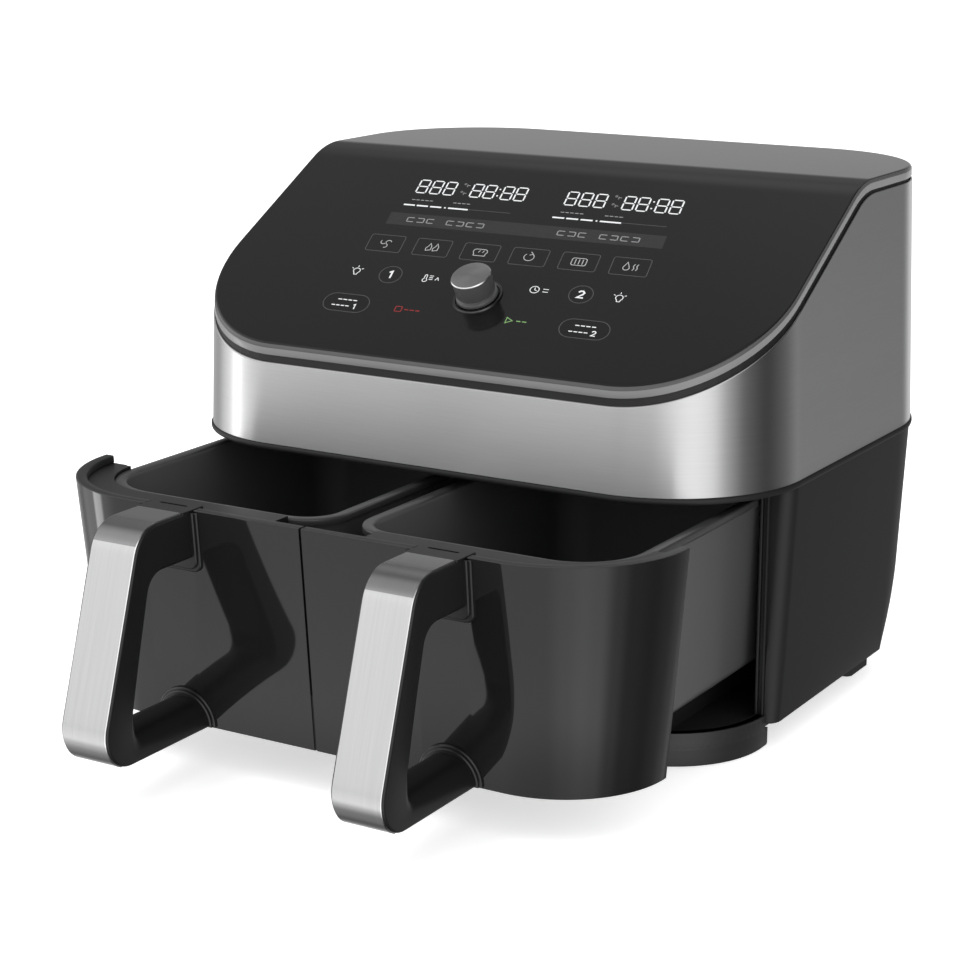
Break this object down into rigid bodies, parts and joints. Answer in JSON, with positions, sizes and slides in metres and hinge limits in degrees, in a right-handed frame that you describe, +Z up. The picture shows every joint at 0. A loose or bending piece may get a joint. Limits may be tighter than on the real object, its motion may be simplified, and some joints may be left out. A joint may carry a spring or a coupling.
{
  "type": "dual-basket air fryer",
  "caption": "Countertop hot-air fryer with a sloped touch panel, a turning knob, a steel band round the housing and side-by-side pull-out drawers with strap handles.",
  "frame": {"origin": "on the worktop, under the middle of the outline with both drawers pulled out", "axes": "+X to the viewer's right when facing the front, +Y from the front to the back, +Z up"},
  "size_m": [0.386, 0.5202, 0.3133],
  "materials": {
    "gloss_cover": "mirror-smooth black",
    "housing_plastic": "satin black moulding",
    "band_steel": "satin stainless, grain running round the body",
    "base_plastic": "dark grey moulding",
    "foot_plastic": "matt black moulding",
    "foot_rubber": "matt",
    "grille_plastic": "satin black moulding",
    "gland_rubber": "matt",
    "liner_enamel": "heat-resistant dark coating",
    "divider_steel": "heat-resistant dark coating",
    "bulkhead_steel": "dark plated sheet",
    "heater_steel": "oxidised sheath",
    "clip_steel": "plain sheet",
    "guard_steel": "pressed sheet",
    "motor_steel": "plain sheet",
    "bracket_steel": "plain sheet",
    "lamp_ceramic": "ceramic",
    "lamp_glass": "clear",
    "probe_steel": "polished sheath",
    "cutoff_phenolic": "phenolic",
    "switch_plastic": "satin",
    "board_laminate": "solder-masked laminate",
    "display_plastic": "dark filter",
    "encoder_alloy": "plain",
    "knob_ring_chrome": "polished dark",
    "screw_steel": "zinc plated",
    "black_screw_steel": "blacked",
    "fan_alloy": "pressed",
    "shaft_steel": "ground",
    "cooling_fan_plastic": "moulded",
    "knob_plastic": "satin black",
    "knob_alloy": "spun, bright bevel",
    "front_gloss": "mirror-smooth dark grey",
    "frame_plastic": "satin black moulding",
    "basket_coating": "non-stick coating",
    "handle_plastic": "satin black moulding",
    "strap_steel": "satin stainless with polished edges",
    "tray_coating": "non-stick coating",
    "bumper_silicone": "matt"
  },
  "bodies": {
    "housing": {"top_cover": "gloss_cover", "upper_frame": "housing_plastic", "steel_band": "band_steel", "band_trim": "housing_plastic", "lower_housing": "housing_plastic", "base_pan": "base_plastic", "front_foot": "foot_plastic", "rear_feet": "foot_rubber", "rear_grille": "grille_plastic", "cord_gland": "gland_rubber", "cavity_liner_left": "liner_enamel", "cavity_liner_right": "liner_enamel", "centre_divider": "divider_steel", "front_bulkhead": "bulkhead_steel", "deck_plate": "bulkhead_steel", "heater_left": "heater_steel", "heater_right": "heater_steel", "heater_clips": "clip_steel", "fan_guards": "guard_steel", "motor_left": "motor_steel", "motor_right": "motor_steel", "motor_brackets": "bracket_steel", "lamp_holders": "lamp_ceramic", "lamp_lenses": "lamp_glass", "temperature_probes": "probe_steel", "thermal_cutoffs": "cutoff_phenolic", "drawer_switches": "switch_plastic", "power_board": "board_laminate", "control_board": "board_laminate", "displays": "display_plastic", "encoder": "encoder_alloy", "knob_ring": "knob_ring_chrome", "case_screws": "screw_steel", "base_screws": "black_screw_steel"},
    "fan_left": {"convection_fan_left": "fan_alloy", "fan_shaft_left": "shaft_steel", "cooling_fan_left": "cooling_fan_plastic"},
    "fan_right": {"convection_fan_right": "fan_alloy", "fan_shaft_right": "shaft_steel", "cooling_fan_right": "cooling_fan_plastic"},
    "knob": {"knob_body": "knob_plastic", "knob_cap": "knob_alloy", "knob_shaft": "shaft_steel"},
    "drawer_left": {"front_shell_left": "front_gloss", "inner_frame_left": "frame_plastic", "basket_left": "basket_coating", "handle_frame_left": "handle_plastic", "handle_strap_left": "strap_steel", "handle_screws_left": "screw_steel"},
    "tray_left": {"crisper_tray_left": "tray_coating", "tray_bumpers_left": "bumper_silicone"},
    "drawer_right": {"front_shell_right": "front_gloss", "inner_frame_right": "frame_plastic", "basket_right": "basket_coating", "handle_frame_right": "handle_plastic", "handle_strap_right": "strap_steel", "handle_screws_right": "screw_steel"},
    "tray_right": {"crisper_tray_right": "tray_coating", "tray_bumpers_right": "bumper_silicone"}
  },
  "joints": [
    {"name": "drawer_left_slide", "type": "slide", "parent": "housing", "child": "drawer_left", "axis": [0, -1, 0], "range_m": [-0.1248, 0.15]},
    {"name": "drawer_right_slide", "type": "slide", "parent": "housing", "child": "drawer_right", "axis": [0, -1, 0], "range_m": [-0.1248, 0.15]},
    {"name": "tray_left_lift", "type": "slide", "parent": "drawer_left", "child": "tray_left", "axis": [0, 0, 1], "range_m": [0, 0.085]},
    {"name": "tray_right_lift", "type": "slide", "parent": "drawer_right", "child": "tray_right", "axis": [0, 0, 1], "range_m": [0, 0.085]},
    {"name": "knob_turn", "type": "hinge", "parent": "housing", "child": "knob", "pos_m": [0, -0.0034, 0.24742], "axis": [0, -0.4924, 0.8704], "continuous": true},
    {"name": "fan_left_spin", "type": "hinge", "parent": "housing", "child": "fan_left", "pos_m": [-0.089, 0.1216, 0.18], "axis": [0, 0, 1], "continuous": true},
    {"name": "fan_right_spin", "type": "hinge", "parent": "housing", "child": "fan_right", "pos_m": [0.089, 0.1216, 0.18], "axis": [0, 0, 1], "continuous": true}
  ]
}
